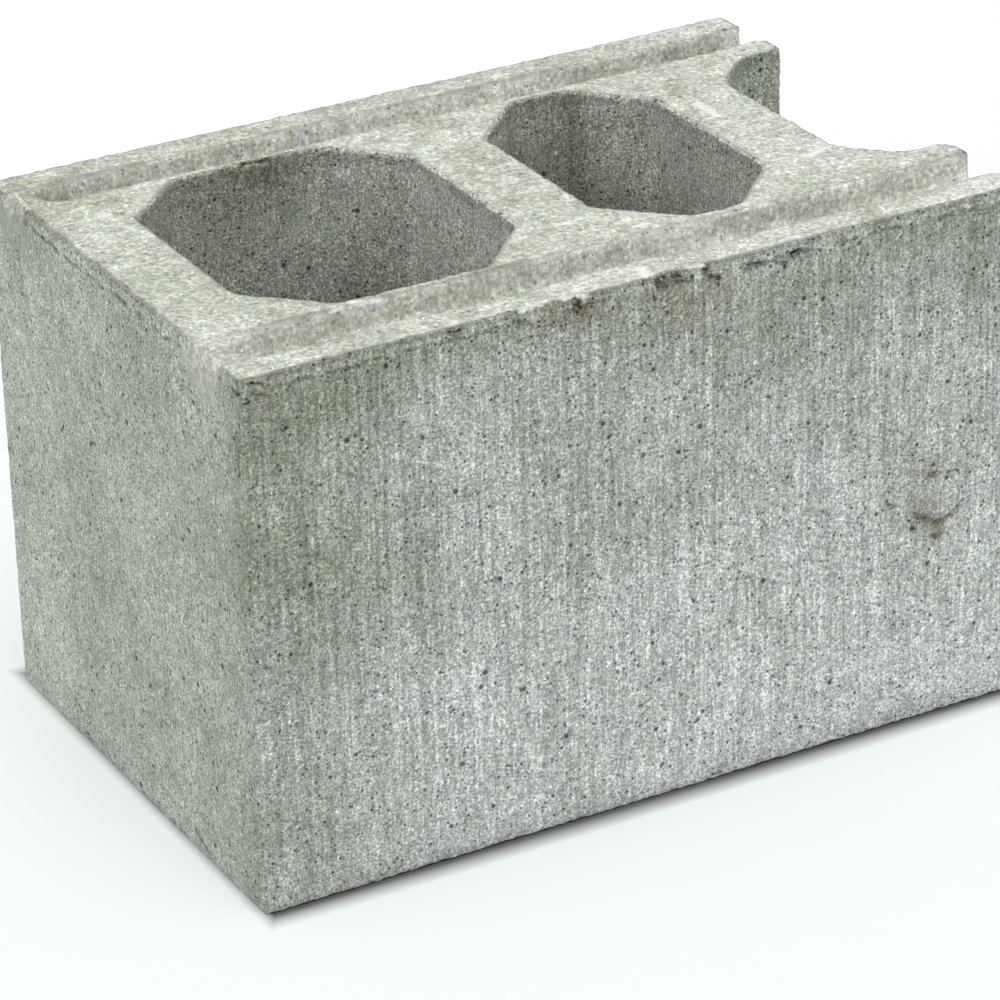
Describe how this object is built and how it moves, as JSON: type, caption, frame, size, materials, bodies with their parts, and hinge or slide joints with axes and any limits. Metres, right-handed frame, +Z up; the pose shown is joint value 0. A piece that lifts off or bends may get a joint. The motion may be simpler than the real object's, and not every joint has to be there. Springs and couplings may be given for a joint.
{
  "type": "concrete block",
  "caption": "Hollow concrete building block of three-quarter length, closed at one end and open at the other, with cores through it and a groove along the top of each face shell.",
  "frame": {"origin": "middle of the underside, on the surface that the block stands on", "axes": "+X along the length towards the open end, +Y across the width, +Z up through the cores"},
  "size_m": [0.29, 0.19, 0.19],
  "materials": {
    "concrete": "moulded dry-cast concrete, rough, with fine vertical drag marks and small pores"
  },
  "bodies": {
    "root": {"concrete_block": "concrete"}
  },
  "joints": []
}
